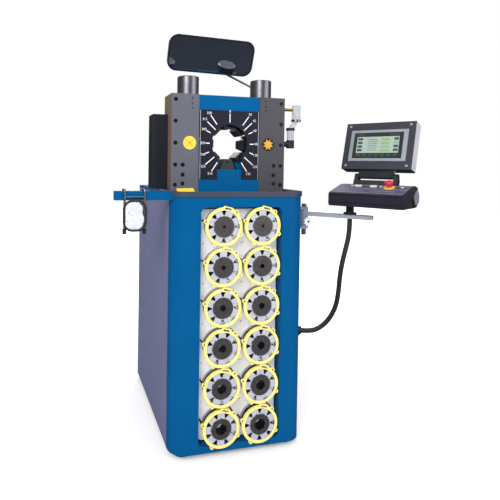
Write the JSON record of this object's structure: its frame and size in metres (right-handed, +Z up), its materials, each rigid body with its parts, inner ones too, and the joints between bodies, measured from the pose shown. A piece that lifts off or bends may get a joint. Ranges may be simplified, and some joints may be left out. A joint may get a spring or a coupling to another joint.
{
  "type": "hose crimping machine",
  "caption": "Floor-standing hydraulic hose crimping press with an open die head, a front rack of die sets, a parts tray, a mirror and a touch screen panel on a swing arm.",
  "frame": {"origin": "on the floor, under the middle of the cabinet", "axes": "+X to the right as the operator faces the machine, +Y towards its back, +Z up"},
  "size_m": [1.0636, 0.9815, 1.5755],
  "materials": {
    "blue_paint": "satin enamel",
    "grey_paint": "textured powder coat",
    "white_paint": "satin",
    "black_parts": "black",
    "frame_paint": "ground and painted",
    "dial_paint": "satin",
    "cylinder_steel": "turned",
    "bright_steel": "ground",
    "rod_chrome": "hard chrome",
    "die_steel": "ground",
    "aluminium": "anodised",
    "black_plastic": "fine grain",
    "screen_face": "gloss",
    "red_plastic": "gloss",
    "white_plastic": "gloss",
    "clear_bowl": "clear",
    "mirror_face": "silvered",
    "black_rubber": "matt",
    "bag_film": "translucent film"
  },
  "bodies": {
    "cabinet": {"cabinet_frame": "black_parts", "cabinet_cladding": "grey_paint", "front_shell": "blue_paint", "recess_box": "blue_paint", "rack_panel": "white_paint", "rack_pegs": "black_parts", "tray": "frame_paint", "top_cover": "blue_paint", "side_frames": "frame_paint", "head_screws": "black_parts", "lower_yoke": "blue_paint", "master_die_bottom": "die_steel", "hydraulic_cylinders": "cylinder_steel", "dial_plate": "dial_paint", "rear_guard": "black_parts", "lubricator": "clear_bowl", "mirror_stand": "bright_steel", "accessory_bar": "blue_paint", "wire_hanger": "bright_steel", "tie_loop": "black_rubber", "spare_bag": "bag_film", "arm_bracket": "blue_paint", "conduit": "black_rubber", "cable_glands": "black_plastic"},
    "upper_yoke": {"upper_yoke": "blue_paint", "piston_rods": "rod_chrome", "master_die_top": "die_steel"},
    "die_right": {"master_die_right": "die_steel"},
    "die_left": {"master_die_left": "die_steel"},
    "die_upper_right": {"master_die_upper_right": "die_steel"},
    "die_upper_left": {"master_die_upper_left": "die_steel"},
    "die_lower_right": {"master_die_lower_right": "die_steel"},
    "die_lower_left": {"master_die_lower_left": "die_steel"},
    "die_set_01": {"die_set_01": "die_steel"},
    "die_set_02": {"die_set_02": "die_steel"},
    "die_set_03": {"die_set_03": "die_steel"},
    "die_set_04": {"die_set_04": "die_steel"},
    "die_set_05": {"die_set_05": "die_steel"},
    "die_set_06": {"die_set_06": "die_steel"},
    "die_set_07": {"die_set_07": "die_steel"},
    "die_set_08": {"die_set_08": "die_steel"},
    "die_set_09": {"die_set_09": "die_steel"},
    "die_set_10": {"die_set_10": "die_steel"},
    "die_set_11": {"die_set_11": "die_steel"},
    "die_set_12": {"die_set_12": "die_steel"},
    "panel_arm": {"panel_arm": "aluminium"},
    "arm_clamp": {"arm_clamp_knob": "white_plastic"},
    "control_panel": {"console_housing": "black_plastic", "console_cheeks": "black_plastic", "keypad_trim": "white_plastic", "panel_mounts": "black_plastic"},
    "stop_button": {"stop_button": "red_plastic"},
    "start_button": {"start_button": "white_plastic"},
    "open_button": {"open_button": "white_plastic"},
    "screen": {"screen_housing": "black_plastic", "screen_frame": "aluminium", "touch_screen": "screen_face"},
    "mirror": {"mirror_housing": "black_plastic", "mirror_glass": "mirror_face"}
  },
  "joints": [
    {"name": "press_stroke", "type": "slide", "parent": "cabinet", "child": "upper_yoke", "axis": [0, 0, -1], "range_m": [0, 0.04]},
    {"name": "die_right_slide", "type": "slide", "parent": "cabinet", "child": "die_right", "axis": [-0.7071, 0, -0.7071], "range_m": [0, 0.0285]},
    {"name": "die_lower_right_slide", "type": "slide", "parent": "cabinet", "child": "die_lower_right", "axis": [-0.9239, 0, -0.3827], "range_m": [0, 0.0154]},
    {"name": "die_upper_right_slide", "type": "slide", "parent": "upper_yoke", "child": "die_upper_right", "axis": [-0.9239, 0, 0.3827], "range_m": [0, 0.0154]},
    {"name": "die_left_slide", "type": "slide", "parent": "cabinet", "child": "die_left", "axis": [0.7071, 0, -0.7071], "range_m": [0, 0.0285]},
    {"name": "die_lower_left_slide", "type": "slide", "parent": "cabinet", "child": "die_lower_left", "axis": [0.9239, 0, -0.3827], "range_m": [0, 0.0154]},
    {"name": "die_upper_left_slide", "type": "slide", "parent": "upper_yoke", "child": "die_upper_left", "axis": [0.9239, 0, 0.3827], "range_m": [0, 0.0154]},
    {"name": "die_set_01_pull", "type": "slide", "parent": "cabinet", "child": "die_set_01", "axis": [0, -1, 0], "range_m": [0, 0.06]},
    {"name": "die_set_02_pull", "type": "slide", "parent": "cabinet", "child": "die_set_02", "axis": [0, -1, 0], "range_m": [0, 0.06]},
    {"name": "die_set_03_pull", "type": "slide", "parent": "cabinet", "child": "die_set_03", "axis": [0, -1, 0], "range_m": [0, 0.06]},
    {"name": "die_set_04_pull", "type": "slide", "parent": "cabinet", "child": "die_set_04", "axis": [0, -1, 0], "range_m": [0, 0.06]},
    {"name": "die_set_05_pull", "type": "slide", "parent": "cabinet", "child": "die_set_05", "axis": [0, -1, 0], "range_m": [0, 0.06]},
    {"name": "die_set_06_pull", "type": "slide", "parent": "cabinet", "child": "die_set_06", "axis": [0, -1, 0], "range_m": [0, 0.06]},
    {"name": "die_set_07_pull", "type": "slide", "parent": "cabinet", "child": "die_set_07", "axis": [0, -1, 0], "range_m": [0, 0.06]},
    {"name": "die_set_08_pull", "type": "slide", "parent": "cabinet", "child": "die_set_08", "axis": [0, -1, 0], "range_m": [0, 0.06]},
    {"name": "die_set_09_pull", "type": "slide", "parent": "cabinet", "child": "die_set_09", "axis": [0, -1, 0], "range_m": [0, 0.06]},
    {"name": "die_set_10_pull", "type": "slide", "parent": "cabinet", "child": "die_set_10", "axis": [0, -1, 0], "range_m": [0, 0.06]},
    {"name": "die_set_11_pull", "type": "slide", "parent": "cabinet", "child": "die_set_11", "axis": [0, -1, 0], "range_m": [0, 0.06]},
    {"name": "die_set_12_pull", "type": "slide", "parent": "cabinet", "child": "die_set_12", "axis": [0, -1, 0], "range_m": [0, 0.06]},
    {"name": "arm_swing", "type": "hinge", "parent": "cabinet", "child": "panel_arm", "pos_m": [0.286, -0.268, 0.847], "axis": [0, 0, 1], "range_deg": [-15, 30]},
    {"name": "arm_clamp_turn", "type": "hinge", "parent": "panel_arm", "child": "arm_clamp", "pos_m": [0.286, -0.298, 0.819], "axis": [0, -1, 0], "range_deg": [-90, 90]},
    {"name": "panel_swivel", "type": "hinge", "parent": "panel_arm", "child": "control_panel", "pos_m": [0.40109, -0.39717, 0.87], "axis": [0, 0, 1], "range_deg": [-45, 45]},
    {"name": "screen_tilt", "type": "hinge", "parent": "control_panel", "child": "screen", "pos_m": [0.48831, -0.42593, 0.994], "axis": [0.5344, -0.8453, 0], "range_deg": [-14, 12]},
    {"name": "mirror_tilt", "type": "hinge", "parent": "cabinet", "child": "mirror", "pos_m": [0.04583, 0.09435, 1.45079], "axis": [0.9997, 0, -0.0262], "range_deg": [-12, 12]},
    {"name": "stop_press", "type": "slide", "parent": "control_panel", "child": "stop_button", "axis": [0.2299, 0.1453, -0.9623], "range_m": [0, 0.005], "stiffness_N_per_m": 800},
    {"name": "start_press", "type": "slide", "parent": "control_panel", "child": "start_button", "axis": [0.2299, 0.1453, -0.9623], "range_m": [0, 0.0025], "stiffness_N_per_m": 500},
    {"name": "open_press", "type": "slide", "parent": "control_panel", "child": "open_button", "axis": [0.2299, 0.1453, -0.9623], "range_m": [0, 0.0025], "stiffness_N_per_m": 500}
  ],
  "couplings": [
    {"joint": "die_right_slide", "follows": "press_stroke", "ratio": 0.70711},
    {"joint": "die_lower_right_slide", "follows": "press_stroke", "ratio": 0.38268},
    {"joint": "die_upper_right_slide", "follows": "press_stroke", "ratio": 0.38268},
    {"joint": "die_left_slide", "follows": "press_stroke", "ratio": 0.70711},
    {"joint": "die_lower_left_slide", "follows": "press_stroke", "ratio": 0.38268},
    {"joint": "die_upper_left_slide", "follows": "press_stroke", "ratio": 0.38268}
  ]
}
